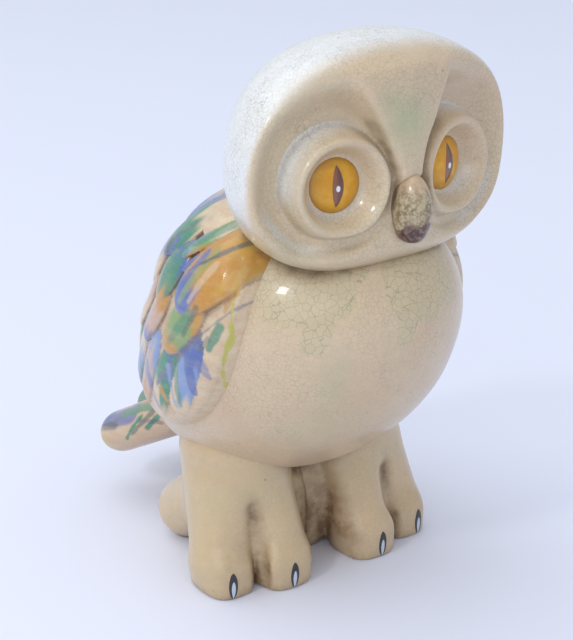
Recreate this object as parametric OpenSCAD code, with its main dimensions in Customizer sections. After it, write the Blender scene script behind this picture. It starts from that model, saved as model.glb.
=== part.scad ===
// Owl figurine: a hollow glazed earthenware owl, put together from separately
// cast and modelled clay pieces that are luted face to face before firing.
// The owl stands on +Z, looks along -Y, and its own left side is +X.

/* [Body] */
// Width of the egg-shaped body
body_w = 145; // [120:1:175]
// Depth of the body from chest to rump, measured level
body_d = 149; // [125:1:180]
// Height of the body's widest level above the ground
body_mid = 107; // [95:1:115]
// Height of the body above its widest level, with the part inside the head
body_up = 82; // [70:1:95]
// Depth of the belly below the widest level
body_down = 62; // [52:1:70]
// How far the chest leans forward of the rump
body_lean = 38; // [28:1:46]
// Thickness of the fired clay wall
wall = 6; // [4:0.5:8]
// Diameter of the vent hole under the belly
vent_d = 8; // [5:0.5:12]

/* [Head] */
// Width of the head across the rims of the facial discs
head_w = 150; // [125:1:175]
// Height of the crown above the head's middle level
crown_h = 56.5; // [48:0.5:66]
// Depth of the head below its middle level
jaw_h = 48; // [43:0.5:56]
// Depth of the head from the eyes to the back of the head
head_back = 72; // [62:1:84]
// Height of the head's middle level above the ground
head_mid = 211; // [205:1:220]
// Turn of the head to the owl's left, in degrees
head_turn = 2; // [0:1:12]
// How far the head is set forward over the chest
head_forward = 9; // [0:0.5:12]
// Diameter of the open neck between the two hollow shells
neck_d = 50; // [36:1:60]
// Thickness of the clay that each facial disc is modelled in
disc_t = 6; // [5:0.5:8]
// How far the two facial discs splay outward, in degrees
splay = 11; // [7:1:15]

/* [Eyes and beak] */
// Distance between the centres of the eyes
eye_gap = 64; // [58:1:76]
// Height of the eyes above the ground
eye_z = 208; // [203:1:213]
// Diameter of the domed yellow eye
iris_d = 24.4; // [20:0.2:27]
// Gap left round each eye where it lies in its socket
eye_gap_round = 0.3; // [0.2:0.1:0.6]
// Radius of the domed eye's surface
eye_dome_r = 22; // [18:1:30]
// Radius of the crest of the raised ring round each eye
ring_r = 21.5; // [19:0.5:24]
// Height of the raised ring
ring_h = 4; // [2.5:0.5:6]
// Depth of the trough between the ring and the rim
trough_h = 6; // [3:0.5:7]
// Width of the slit pupil
pupil_w = 5.4; // [4:0.2:8]
// Height of the slit pupil
pupil_h = 18.2; // [14:0.2:20]
// Thickness of a painted enamel spot
enamel_t = 0.4; // [0.3:0.1:0.8]
// Diameter of the white catchlight on each pupil
catchlight_d = 2.2; // [1.6:0.1:3]
// Width of the beak
beak_w = 17; // [13:0.5:21]
// Length of the beak
beak_l = 31; // [24:0.5:36]

/* [Wings] */
// Thickness of the wing slab laid on the body
wing_t = 6.5; // [4:0.5:9]
// Length of the wing
wing_l = 120; // [100:1:136]
// Width of the wing
wing_w = 84; // [70:1:92]
// Height that the modelled feathers stand above the wing
feather_t = 2.6; // [1.5:0.1:4]

/* [Tail] */
// Length of the middle tail feather outside the body
tail_l = 77; // [60:1:86]
// Thickness of a tail feather
tail_t = 22; // [17:1:26]

/* [Legs and feet] */
// Diameter of a leg where it leaves the belly
leg_d = 50; // [42:1:54]
// Distance between the middles of the legs
leg_gap = 72; // [64:1:84]
// Thickness of a toe
toe_d = 32; // [26:1:35]
// Height of a toe's middle above the ground
toe_z = 12; // [10:0.5:13]
// Length of a painted claw
claw_l = 13; // [9:0.5:16]
// Width of a painted claw
claw_w = 4.2; // [3:0.2:6]

/* [Hidden] */

// Glaze and enamel colours
cream = [0.80, 0.75, 0.65];
buff = [0.72, 0.65, 0.52];
amber = [0.85, 0.62, 0.14];
umber = [0.30, 0.16, 0.10];
cobalt = [0.36, 0.48, 0.76];
sea_green = [0.30, 0.60, 0.52];
ochre = [0.80, 0.58, 0.26];
far = 400;

// Soft step from 0 to 1
function soft(t) = let (c = min(max(t, 0), 1)) c * c * (3 - 2 * c);
// Cosine step from a to b as t goes from 0 to 1
function ease(a, b, t) = a + (b - a) * (1 - cos(180 * min(max(t, 0), 1))) / 2;
// A value that passes through eight given ones an eighth of a turn apart
function around(angle, v) = let (t = ((angle % 360) + 360) % 360 / 45, i = floor(t))
    ease(v[i % 8], v[(i + 1) % 8], t - i);

// ---- closed skins over rings of points ----
// Rings all have the same count of points, and run from the start pole to the end pole
module skin(rings, start, end) {
    n = len(rings[0]);
    m = len(rings);
    points = concat([for (r = rings) each r], [start, end]);
    faces = concat(
        [for (i = [0 : m - 2], j = [0 : n - 1]) let (k = (j + 1) % n)
            each [[i * n + j, (i + 1) * n + j, (i + 1) * n + k],
                [i * n + j, (i + 1) * n + k, i * n + k]]],
        [for (j = [0 : n - 1]) [m * n, j, (j + 1) % n]],
        [for (j = [0 : n - 1]) [m * n + 1, (m - 1) * n + (j + 1) % n, (m - 1) * n + j]]);
    polyhedron(points, faces);
}

// Freeform clay is cut to its neighbour as one mesh
module clay() resize([0, 0, 0]) children();

// ---- body: level ellipses whose centres lean forward as they rise ----
lean_from = body_mid - body_down + 1;
lean_over = 124;
body_y0 = 10;
shoulder_power = 2.3;
function body_y(z) = body_y0 - body_lean * soft((z - lean_from) / lean_over);
function body_power(z) = z > body_mid ? shoulder_power : 2;
function body_reach(z, grow) = (z > body_mid ? body_up : body_down) + grow;
function body_share(z, grow) = let (p = body_power(z))
    pow(max(1 - pow(abs(z - body_mid) / body_reach(z, grow), p), 0), 1 / p);
body_rings = 17;
body_sides = 36;
module body_blank(grow = 0, rings = body_rings, sides = body_sides) {
    skin([for (i = [1 : rings]) let (
            s = -cos(180 * i / (rings + 1)),
            z = body_mid + s * body_reach(body_mid + s, grow),
            k = body_share(z, grow))
        [for (j = [0 : sides - 1]) let (a = 360 * j / sides)
            [(body_w / 2 + grow) * k * cos(a), body_y(z) + (body_d / 2 + grow) * k * sin(a), z]]],
        [0, body_y(body_mid - body_down - grow), body_mid - body_down - grow],
        [0, body_y(body_mid + body_up + grow), body_mid + body_up + grow]);
}
// Half width of the body at a point of its side view
function body_x(y, z, grow) = let (k = body_share(z, grow), d = (y - body_y(z)) / ((body_d / 2 + grow) * k))
    (body_w / 2 + grow) * k * sqrt(max(1 - d * d, 0));
// Outward direction of the body's left flank there
function body_normal(y, z, grow) = let (e = 0.5,
    dy = (body_x(y + e, z, grow) - body_x(y - e, z, grow)) / (2 * e),
    dz = (body_x(y, z + e, grow) - body_x(y, z - e, grow)) / (2 * e),
    v = [1, -dy, -dz]) v / norm(v);

// ---- head: upright rounded sections from the back of the head to the face ----
face_y = -70;
widest_y = face_y + 4;
crown_y = -50;
crown_front = 46;
crown_back = 54;
jaw_front = 40;
head_power = 2.25;
back_y = widest_y + head_back - 2;
front_y = -92;
function arc(t) = sqrt(max(1 - t * t, 0));
function head_half(y, grow) = (head_w / 2 + grow) * arc((y - widest_y) / ((y > widest_y ? head_back - 2 : 60) + grow));
function head_up(y, grow) = (crown_h + grow) * arc((y - crown_y) / ((y > crown_y ? crown_back : crown_front) + grow));
function head_down(y, grow) = (jaw_h + grow) * arc((y - crown_y) / ((y > crown_y ? crown_back : jaw_front) + grow));
function rounded(angle, a, h) = let (c = cos(angle), s = sin(angle), p = 2 / head_power)
    [a * sign(c) * pow(abs(c), p), h * sign(s) * pow(abs(s), p)];
head_rings = 15;
head_sides = 36;
module head_blank(grow = 0, rings = head_rings, sides = head_sides) {
    last = crown_y + crown_back + grow - 0.5;
    skin([for (i = [0 : rings]) let (y = last + (front_y - last) * (1 - cos(90 * i / rings)) )
        [for (j = [0 : sides - 1]) let (a = 360 * j / sides,
                q = rounded(a, head_half(y, grow), a < 180 ? head_up(y, grow) : head_down(y, grow)))
            [q[0], y, head_mid + q[1]]]],
        [0, last + 0.3, head_mid], [0, front_y - 0.5, head_mid]);
}
module turned() translate([0, -head_forward, 0]) rotate([0, 0, head_turn]) children();
module on_side(s) { if (s < 0) mirror([1, 0, 0]) children(); else children(); }
// The owl's left eye: x runs outward, y up and z out of the face
module at_left_eye() translate([eye_gap / 2, face_y, eye_z]) rotate([90, 0, splay]) children();
module at_eye(s) turned() on_side(s) at_left_eye() children();

// ---- facial disc: a socket, a raised ring, a trough and a rim round each eye ----
// The eight values run outward, up and outward, up, up and inward, toward the beak, and so on round
socket_r = iris_d / 2 + eye_gap_round;
socket_h = 4.5;
crest_r = [for (d = [0, 0, 0, 0.5, 1, 0.5, -1, -0.5]) ring_r + d];
crest_h = [for (i = [0 : 7]) ring_h];
groove_r = [for (d = [9.5, 11.5, 12.5, 5, 4, 4, 2.5, 5.5]) ring_r + d];
groove_h = [for (d = [0.9, 1, 1, 0.4, 0.2, -0.2, 0.15, 0.6]) -trough_h * d];
rim_r = [for (d = [17.5, 21.5, 24.5, 8.5, 6.5, 8.5, 8, 11.5]) ring_r + d];
rim_h = [0.5, 0.5, 1, 2, 1.5, 2.5, 2, 1];
outer_r = 66;
disc_sides = 36;
function disc_row(a, r, h) = [r * cos(a), r * sin(a), h];
function disc_step(a, ra, ha, rb, hb, t) =
    disc_row(a, around(a, ra) + (around(a, rb) - around(a, ra)) * t, ease(around(a, ha), around(a, hb), t));
module disc_relief() {
    floor_r = [for (i = [0 : 7]) socket_r];
    floor_h = [for (i = [0 : 7]) -socket_h];
    turn = [for (j = [0 : disc_sides - 1]) 360 * j / disc_sides];
    skin(concat(
        [[for (a = turn) disc_row(a, outer_r, -disc_t)]],
        [[for (a = turn) disc_row(a, outer_r, around(a, rim_h))]],
        [for (t = [1, 0.66, 0.33]) [for (a = turn) disc_step(a, groove_r, groove_h, rim_r, rim_h, t)]],
        [for (t = [1, 0.66, 0.33]) [for (a = turn) disc_step(a, crest_r, crest_h, groove_r, groove_h, t)]],
        [for (t = [1, 0.66, 0.33, 0]) [for (a = turn) disc_step(a, floor_r, floor_h, crest_r, crest_h, t)]]),
        [0, 0, -disc_t], [0, 0, -socket_h]);
}
module half_space(s) translate([s > 0 ? 0 : -far, -far / 2, 0]) cube([far, far, far]);
module left_disc_blank() {
    intersection() {
        head_blank();
        at_left_eye() disc_relief();
        half_space(1);
    }
}
// The room in front of the planes that the facial discs are luted to, moved back by a distance
module face_room(back = 0) for (s = [-1, 1]) on_side(s) intersection() {
    at_left_eye() translate([-far / 2, -far / 2, -disc_t - back]) cube([far, far, far]);
    half_space(1);
}
module head_core() difference() {
    head_blank();
    face_room();
}

module head_shell() color(cream) clay() turned() difference() {
    head_core();
    difference() {
        head_blank(-wall, 11, 28);
        face_room(wall);
    }
    translate([0, body_y(head_mid - jaw_h) + head_forward, head_mid - jaw_h - wall])
        cylinder(d = neck_d, h = 5 * wall, $fn = 32);
}

module facial_disc(s) color(cream) clay() turned() on_side(s) left_disc_blank();

// The brow runs down between the discs as a shallow wedge with a rounded tip
wedge_top = [0, -69, head_mid + 36];
wedge_tip = [0, -74, eye_z + 7];
wedge_w = 34;
module brow_blank() hull() {
    translate(wedge_top) scale([wedge_w, 18, 14] / 20) sphere(d = 20, $fn = 24);
    translate(wedge_tip) scale([9, 15, 10] / 20) sphere(d = 20, $fn = 20);
}
module brow_wedge() color(cream) clay() turned() difference() {
    brow_blank();
    for (s = [-1, 1]) on_side(s) left_disc_blank();
    head_core();
}

beak_at = [0, -80, eye_z - 13.5];
beak_d = 19;
module beak() color(buff) clay() turned() difference() {
    translate(beak_at) scale([beak_w, beak_d, beak_l] / 20) sphere(d = 20, $fn = 24);
    for (s = [-1, 1]) on_side(s) left_disc_blank();
    head_core();
    brow_blank();
    rotate([0, 0, -head_turn]) translate([0, head_forward, 0]) body_blank();
}

// ---- eyes: a domed iris with enamel spots on its surface ----
dome_depth = eye_dome_r - sqrt(pow(eye_dome_r, 2) - pow(iris_d / 2, 2));
dome_at = dome_depth - socket_h - eye_dome_r;
module dome(grow) translate([0, 0, dome_at]) sphere(r = eye_dome_r + grow, $fn = 96);
module eyeball(s) color(amber) at_eye(s) intersection() {
    dome(0);
    translate([0, 0, -socket_h]) cylinder(d = iris_d, h = 2 * dome_depth, $fn = 96);
}
// Almond outline as the overlap of two circles
module almond(w, h) {
    r = (w * w + h * h) / (4 * w);
    intersection_for (s = [-1, 1]) translate([s * (r - w / 2), 0]) circle(r = r, $fn = 96);
}
module pupil(s) color(umber) at_eye(s) difference() {
    intersection() {
        dome(enamel_t);
        linear_extrude(2 * dome_depth, center = true) almond(pupil_w, pupil_h);
    }
    dome(0);
}
module catchlight(s) color("white") at_eye(s) difference() {
    intersection() {
        dome(2 * enamel_t);
        cylinder(d = catchlight_d, h = 4 * dome_depth, center = true, $fn = 32);
    }
    dome(enamel_t);
}

module body_shell() color(cream) clay() difference() {
    body_blank();
    body_blank(-wall, 13, 28);
    turned() head_blank();
    translate([0, body_y0, body_mid - body_down - wall]) cylinder(d = vent_d, h = 3 * wall, $fn = 24);
}

// ---- wings: an oval slab on each flank with modelled feathers over it ----
wing_at = [-3, 143];
wing_tilt = 14;
wing_inner_x = 20;
module wing_outline() translate(wing_at) rotate(wing_tilt) scale([wing_w, wing_l] / 100) circle(d = 100, $fn = 48);
module flank_prism() rotate([90, 0, 90]) translate([0, 0, wing_inner_x]) linear_extrude(far) children();
module left_wing_blank() intersection() {
    body_blank(wing_t);
    flank_prism() wing_outline();
}
module wing(s) color(cream) clay() difference() {
    on_side(s) left_wing_blank();
    body_blank();
    turned() head_blank();
}
// One rounded feather: its middle in the side view, its lean, length, width and share of the relief
module feather(f) {
    p = [f[0], f[1]];
    n = body_normal(p[0], p[1], wing_t);
    x = body_x(p[0], p[1], wing_t);
    across = atan2(n[1], n[0]);
    rise = asin(n[2]);
    translate([x, p[0], p[1]]) rotate([0, -rise, across]) rotate([f[2], 0, 0])
        scale([2 * feather_t * f[5], f[4], f[3]] / 20) sphere(d = 20, $fn = 14);
}
// Rows of feathers, each a list of [y, z, lean, length, width, relief]
scapular_rows = [for (i = [0 : 2]) [-26 + 20 * i, 170 - 3 * i, 16, 34, 24, 1]];
covert_rows = [for (row = [0 : 1], i = [0 : 3])
    [-35 + 19 * i + 8 * row, 151 - 20 * row - 3 * i, 18, 31, 22, 1]];
flight_rows = [for (i = [0 : 3]) [-20 + 14 * i, 108.3 + 1.5 * i, 20, 42, 16, 0.8]];
module feather_group(rows, s) difference() {
    on_side(s) intersection() {
        union() for (f = rows) feather(f);
        flank_prism() offset(delta = 4) wing_outline();
    }
    on_side(s) left_wing_blank();
    body_blank();
    turned() head_blank();
}
module scapulars(s) color(sea_green) clay() feather_group(scapular_rows, s);
module coverts(s) color(ochre) clay() difference() {
    feather_group(covert_rows, s);
    on_side(s) for (f = scapular_rows) feather(f);
}
module flight_feathers(s) color(cobalt) clay() difference() {
    feather_group(flight_rows, s);
    on_side(s) for (f = concat(scapular_rows, covert_rows)) feather(f);
}

// ---- tail: three thick lobes that fan out behind the rump ----
tail_root = [0, 46, 64];
tail_fan = 20;
tail_drop = [21, 28];
tail_spread = 16;
module tail_blank(i) {
    length = tail_l - (i == 0 ? 0 : 13);
    translate([i * tail_spread, tail_root[1], tail_root[2]]) rotate([-tail_drop[i], 0, -i * tail_fan]) hull() {
        scale([1.25, 1, 1]) sphere(d = tail_t, $fn = 20);
        translate([0, length, 0]) scale([1.4 - 0.2 * i, 1, 0.9]) sphere(d = tail_t, $fn = 20);
    }
}
module wings_blank() for (s = [-1, 1]) on_side(s) left_wing_blank();
module tail_feather(i) color(i == 0 ? sea_green : cobalt) clay() on_side(i) difference() {
    tail_blank(abs(i));
    body_blank();
    wings_blank();
    for (s = [-1, 1]) on_side(s) for (f = flight_rows) feather(f);
    if (i != 0) tail_blank(0);
}

// ---- legs and toes: stout columns with rounded toes on flat soles ----
leg_top = [leg_gap / 2 - 2, -3, 62];
ankle = [leg_gap / 2 + 2, -8, 24];
outer_root = [leg_gap / 2 + 11, -10, 46];
outer_tip = [leg_gap / 2 + 19, -19, toe_z];
inner_root = [leg_gap / 2 - 9, -14, 44];
inner_tip = [leg_gap / 2 - 9, -28, toe_z];
hind_root = [leg_gap / 2, 10, 20];
hind_tip = [leg_gap / 2, 37, toe_z];
module above_ground() intersection() {
    children();
    translate([-far / 2, -far / 2, 0]) cube([far, far, far]);
}
module limb(a, b, da, db, fn = 22) above_ground() hull() {
    translate(a) sphere(d = da, $fn = fn);
    translate(b) sphere(d = db, $fn = fn);
}
module leg_blank() limb(leg_top, ankle, leg_d, leg_d - 6, 26);
toe_tip_d = toe_d - 2.5;
module outer_blank(grow = 0) limb(outer_root, outer_tip, toe_d + 2 * grow, toe_tip_d + 2 * grow);
module inner_blank(grow = 0) limb(inner_root, inner_tip, toe_d + 2 * grow, toe_tip_d + 2 * grow);
module hind_blank() limb(hind_root, hind_tip, toe_d, toe_tip_d);
module leg(s) color(buff) clay() difference() {
    on_side(s) leg_blank();
    body_blank();
}
module outer_toe(s) color(buff) clay() difference() {
    on_side(s) outer_blank();
    on_side(s) leg_blank();
    body_blank();
}
module inner_toe(s) color(buff) clay() difference() {
    on_side(s) inner_blank();
    on_side(s) leg_blank();
    on_side(s) outer_blank();
    body_blank();
}
module hind_toe(s) color(buff) clay() difference() {
    on_side(s) hind_blank();
    on_side(s) leg_blank();
    on_side(s) outer_blank();
    on_side(s) inner_blank();
    body_blank();
}
// A claw is an almond of enamel on the front of its toe
claw_z = claw_l / 2 + 1.5;
module claw_prism(tip) translate([tip[0], tip[1], claw_z]) rotate([90, 0, 0])
    linear_extrude(toe_d) almond(claw_w, claw_l);
module outer_claw(s) color(umber) clay() on_side(s) difference() {
    intersection() {
        claw_prism(outer_tip);
        outer_blank(enamel_t);
    }
    outer_blank();
}
module inner_claw(s) color(umber) clay() on_side(s) difference() {
    intersection() {
        claw_prism(inner_tip);
        inner_blank(enamel_t);
    }
    inner_blank();
}

// The origin lies on the ground under the middle of the figure's own box
chest_y = min([for (z = [body_mid : 1 : body_mid + body_up - 1]) body_y(z) - body_d / 2 * body_share(z, 0)]);
tail_end_y = tail_root[1] + tail_l * cos(tail_drop[0]) + tail_t / 2;
beak_front_y = (beak_at[1] - beak_d / 2) * cos(head_turn) - head_forward;
middle_y = (min(chest_y, beak_front_y) + tail_end_y) / 2;
module centred() translate([0, -middle_y, 0]) children();

centred() body_shell();
centred() head_shell();
centred() brow_wedge();
centred() beak();
centred() facial_disc(-1);  // right_facial_disc
centred() facial_disc(1);  // left_facial_disc
centred() eyeball(-1);  // right_eyeball
centred() eyeball(1);  // left_eyeball
centred() pupil(-1);  // right_pupil
centred() pupil(1);  // left_pupil
centred() catchlight(-1);  // right_catchlight
centred() catchlight(1);  // left_catchlight
centred() wing(-1);  // right_wing
centred() wing(1);  // left_wing
centred() scapulars(-1);  // right_scapulars
centred() scapulars(1);  // left_scapulars
centred() coverts(-1);  // right_coverts
centred() coverts(1);  // left_coverts
centred() flight_feathers(-1);  // right_flight_feathers
centred() flight_feathers(1);  // left_flight_feathers
centred() tail_feather(-1);  // tail_feather_right
centred() tail_feather(0);  // tail_feather_middle
centred() tail_feather(1);  // tail_feather_left
centred() leg(-1);  // right_leg
centred() leg(1);  // left_leg
centred() outer_toe(-1);  // right_outer_toe
centred() outer_toe(1);  // left_outer_toe
centred() inner_toe(-1);  // right_inner_toe
centred() inner_toe(1);  // left_inner_toe
centred() hind_toe(-1);  // right_hind_toe
centred() hind_toe(1);  // left_hind_toe
centred() outer_claw(-1);  // right_outer_claw
centred() outer_claw(1);  // left_outer_claw
centred() inner_claw(-1);  // right_inner_claw
centred() inner_claw(1);  // left_inner_claw
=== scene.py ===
"""Glazed owl figurine: crazed cream earthenware with domed eyes and painted wings."""

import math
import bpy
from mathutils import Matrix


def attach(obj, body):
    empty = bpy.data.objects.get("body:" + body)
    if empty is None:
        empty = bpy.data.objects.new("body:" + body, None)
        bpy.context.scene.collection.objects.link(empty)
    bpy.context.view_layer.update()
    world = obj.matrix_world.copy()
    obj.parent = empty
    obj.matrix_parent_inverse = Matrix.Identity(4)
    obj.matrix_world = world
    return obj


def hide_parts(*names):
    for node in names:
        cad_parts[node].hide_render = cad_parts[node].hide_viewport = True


bl_info = {
    "name": "Glazed Owl Figurine",
    "version": (1, 0, 0),
    "blender": (4, 5, 0),
    "location": "3D View > Sidebar > Owl",
    "description": "Makes a crazed cream earthenware owl with domed eyes, painted wings and enamel claws",
    "category": "Object",
}

import bpy
import numpy as np
from bpy.props import FloatProperty, FloatVectorProperty, PointerProperty
from mathutils import Vector

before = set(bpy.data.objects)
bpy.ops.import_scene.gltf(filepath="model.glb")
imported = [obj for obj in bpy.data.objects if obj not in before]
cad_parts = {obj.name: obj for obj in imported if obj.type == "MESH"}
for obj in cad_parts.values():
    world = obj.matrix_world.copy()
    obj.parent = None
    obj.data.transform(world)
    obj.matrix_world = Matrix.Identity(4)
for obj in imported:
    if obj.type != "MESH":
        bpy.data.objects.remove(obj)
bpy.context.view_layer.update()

MM = 0.001
# Fields are in millimetres, with the legs near the origin; the frame has the figure's middle there
SET_BACK = 15.2
# The head is turned a little and set forward over the chest
HEAD_TURN = math.radians(2.0)
HEAD_FORWARD = np.array([-1.5, -9.0, 0.0])
HEAD_WIDE, HEAD_UP, HEAD_DOWN, HEAD_MID = 73.0, 56.5, 48.0, 211.0
BODY_WIDE, BODY_DEEP, BODY_UP, BODY_DOWN, BODY_MID = 72.5, 74.5, 82.0, 62.0, 107.0
# Mean radii that turn shares of the head and body into millimetres
HEAD_ROUND, BODY_ROUND = 41, 56
# Half the angle between the facial discs, the left eye's place, and the dome of its iris
SPLAY = math.radians(11.0)
EYE = np.array([32.0, -70.0, 207.2])
IRIS_R = 12.2
DOME_R = 22.0
SOCKET_H = -4.5
CREST_H = 5.2
# The groove between a foot's two front toes, and how deep an enamel spot sinks into the clay
TOE_GAP = 40.2
SPOT_SINK = 0.35 * MM
SIDES = ((-1, "right"), (1, "left"))


# ---------------------------------------------------------------- sizes and colours


def number_property(name, description, default, low, high, **kind):
    return FloatProperty(name=name, description=description, default=default, min=low, max=high, **kind)


def length_property(name, description, *lengths):
    """A length whose default and limits are given in millimetres."""
    return number_property(name, description, *(l * MM for l in lengths), subtype="DISTANCE", unit="LENGTH")


def colour_property(name, description, default):
    return FloatVectorProperty(
        name=name, description=description, default=default, size=3, min=0, max=1, subtype="COLOR"
    )


class OwlShape(bpy.types.PropertyGroup):
    """Sizes of the clay"""

    fineness: length_property("Fineness", "Spacing of the points on the head, body and feet", 1.15, 0.8, 4)
    wing_fineness: length_property("Wing fineness", "Spacing of the points on the wings and tail", 0.85, 0.6, 4)
    rim_softness: length_property("Rim softness", "How softly the rim of the face rolls over", 3.0, 1, 12)
    wing_thickness: length_property("Wing thickness", "Thickness of the wing laid on the flank", 6.0, 3, 9)
    feather_relief: number_property(
        "Feather relief", "Share of the full height of the modelled feathers", 1.0, 0.0, 1.3, subtype="FACTOR"
    )
    toe_softness: length_property("Toe softness", "How softly the toes grow out of the legs", 7.0, 1, 12)
    pupil_width: length_property("Pupil width", "Width of the slit pupil", 5.2, 3, 8)
    pupil_length: length_property("Pupil length", "Height of the slit pupil", 18.4, 12, 21)
    claw_width: length_property("Claw width", "Width of a painted claw", 4.4, 2, 6)
    claw_length: length_property("Claw length", "Length of a painted claw", 13.5, 8, 16)


class OwlFinish(bpy.types.PropertyGroup):
    """Colours of the glaze and the enamel, and the size of the crazing"""

    cream: colour_property("Cream", "Glaze of the head", (0.67, 0.545, 0.365))
    # Partly the crown's whiter glaze, partly a painted sheen of the light from above
    white: colour_property("White", "Whiter glaze of the crown", (0.78, 0.80, 0.805))
    blush: colour_property("Blush", "Pinkish glaze of the chest", (0.62, 0.44, 0.285))
    buff: colour_property("Buff", "Glaze of the legs and toes", (0.60, 0.455, 0.265))
    pooled: colour_property("Pooled glaze", "Greenish yellow of thick glaze", (0.53, 0.475, 0.275))
    # This brown paints the shade in the hollows as well as the dirt
    dirt_and_shade: colour_property("Dirt and Shade", "Brown that has settled in the hollows", (0.20, 0.12, 0.06))
    craze: colour_property("Craze line", "Stained cracks of the glaze", (0.34, 0.29, 0.20))
    amber: colour_property("Amber", "Yellow of the iris", (0.68, 0.30, 0.003))
    rust: colour_property("Rust", "Darker rim of the iris", (0.42, 0.17, 0.02))
    umber: colour_property("Umber", "Slit pupil", (0.13, 0.035, 0.015))
    ochre: colour_property("Ochre", "Orange ochre of the wings", (0.53, 0.235, 0.018))
    cobalt: colour_property("Cobalt", "Blue of the wings", (0.05, 0.115, 0.38))
    sea_green: colour_property("Sea green", "Teal green of the wings", (0.022, 0.22, 0.14))
    craze_cell: length_property("Craze cell", "Width of the fine cells of the crazed glaze", 2.3, 1, 6)


class OwlStudio(bpy.types.PropertyGroup):
    """Camera and light"""

    azimuth: number_property(
        "Azimuth", "Direction of the camera round the owl",
        math.radians(-36.0), -math.tau, math.tau, subtype="ANGLE", unit="ROTATION",
    )
    elevation: number_property(
        "Elevation", "Height of the camera above the horizon",
        math.radians(20.0), 0, math.pi / 2, subtype="ANGLE", unit="ROTATION",
    )
    distance: length_property("Distance", "Distance from the camera to the owl's middle", 775, 200, 5000)
    aim_height: length_property("Aim height", "Height that the camera points at", 118.4, 0, 400)
    lens: number_property("Lens", "Focal length of the camera in millimetres", 90.0, 20, 300)
    ambient: number_property("Ambient", "Strength of the light from all round", 0.77, 0, 3)
    overhead: number_property("Overhead", "Power of the large soft light overhead", 34.0, 0, 400)
    lamp: number_property("Lamp", "Power of the small lamp that makes crisp highlights", 5.0, 0, 50)
    front: number_property("Front", "Power of the soft light in front", 4.0, 0, 200)


# ---------------------------------------------------------------- fields of the clay, in millimetres


def soft_step(low, high, x):
    """0 below low, 1 above high, and smooth between."""
    t = np.clip((x - low) / (high - low), 0, 1)
    return t * t * (3 - 2 * t)


def cosine_step(x, low, high):
    return 0.5 - 0.5 * np.cos(np.pi * np.clip((x - low) / (high - low), 0, 1))


def blend_min(a, b, k):
    """The union of two fields, with clay of width k filling where they meet."""
    h = np.clip(0.5 + 0.5 * (b - a) / k, 0, 1)
    return b + (a - b) * h - k * h * (1 - h)


def blend_max(a, b, k):
    return -blend_min(-a, -b, k)


def lump(p, centre, radii):
    """An egg of clay."""
    q = p - np.array(centre)
    r = np.array(radii, float)
    k0 = np.sqrt(((q / r) ** 2).sum(-1))
    k1 = np.sqrt(((q / (r * r)) ** 2).sum(-1))
    return k0 * (k0 - 1) / np.maximum(k1, 1e-9)


def roll(p, start, end, start_r, end_r):
    """A rolled length of clay with round ends."""
    a, d = np.array(start, float), np.array(end, float) - np.array(start, float)
    t = np.clip(((p - a) @ d) / (d @ d), 0, 1)
    return np.sqrt(((p - a - t[..., None] * d) ** 2).sum(-1)) - (start_r + (end_r - start_r) * t)


def block(p, centre, radii):
    """An egg of clay with flattened faces."""
    q = np.abs(p - np.array(centre)) / np.array(radii, float)
    return ((q**3.0).sum(-1) ** (1 / 3.0) - 1) * min(radii)


def both_sides(p):
    q = p.copy()
    q[..., 0] = np.abs(q[..., 0])
    return q


def turn_matrix(angle):
    c, s = math.cos(angle), math.sin(angle)
    return np.array([[c, -s, 0], [s, c, 0], [0, 0, 1]])


HEAD = turn_matrix(HEAD_TURN)


def into_head(p):
    return (p - HEAD_FORWARD) @ HEAD


def out_of_head(p):
    return p @ HEAD.T + HEAD_FORWARD


def around(angle, values):
    """A value that passes through eight given ones an eighth of a turn apart."""
    t = (np.degrees(angle) % 360) / 45
    i = np.floor(t).astype(int) % 8
    f = 0.5 - 0.5 * np.cos(np.pi * (t - np.floor(t)))
    v = np.array(values, float)
    return v[i] * (1 - f) + v[(i + 1) % 8] * f


def arch(y, centre, reach):
    """Height of a half round of unit height."""
    return np.sqrt(np.clip(1 - ((y - centre) / reach) ** 2, 1e-4, 1))


# Facial disc: outward, up and outward, up, up and inward, toward the beak, and so on round
CREST_R = (20.5, 20.5, 20.5, 21, 21.5, 21, 19.5, 20)
WALL_R = (26.5, 27, 27, 25.5, 25, 25, 23, 25)
GROOVE_H = (-7.2, -8.0, -8.0, -3.6, -1.8, 1.0, -1.2, -4.8)
RIM_R = (43, 46, 46, 31.5, 28.5, 30, 31, 37)
RIM_H = (1.8, 1.8, 1.8, 2, 1.5, 2.5, 3.0, 2.4)


def disc_height(u, v):
    """Height of a facial disc over its plane: socket, raised ring, groove and rim."""
    r, a = np.sqrt(u * u + v * v), np.arctan2(v, u)
    crest, wall, rim = around(a, CREST_R), around(a, WALL_R), around(a, RIM_R)
    groove_h, rim_h = around(a, GROOVE_H), around(a, RIM_H)
    inner = SOCKET_H + (CREST_H - SOCKET_H) * cosine_step(r, 11.8, crest)
    outer = CREST_H + (groove_h - CREST_H) * cosine_step(r, crest, wall)
    edge = groove_h + (rim_h - groove_h) * cosine_step(r, wall + 1.5, rim) ** 1.3
    return np.where(r < crest, inner, np.where(r < wall, outer, edge))


def disc_axes():
    out = np.array([math.sin(SPLAY), -math.cos(SPLAY), 0.0])
    across = np.array([math.cos(SPLAY), math.sin(SPLAY), 0.0])
    return across, out


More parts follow.
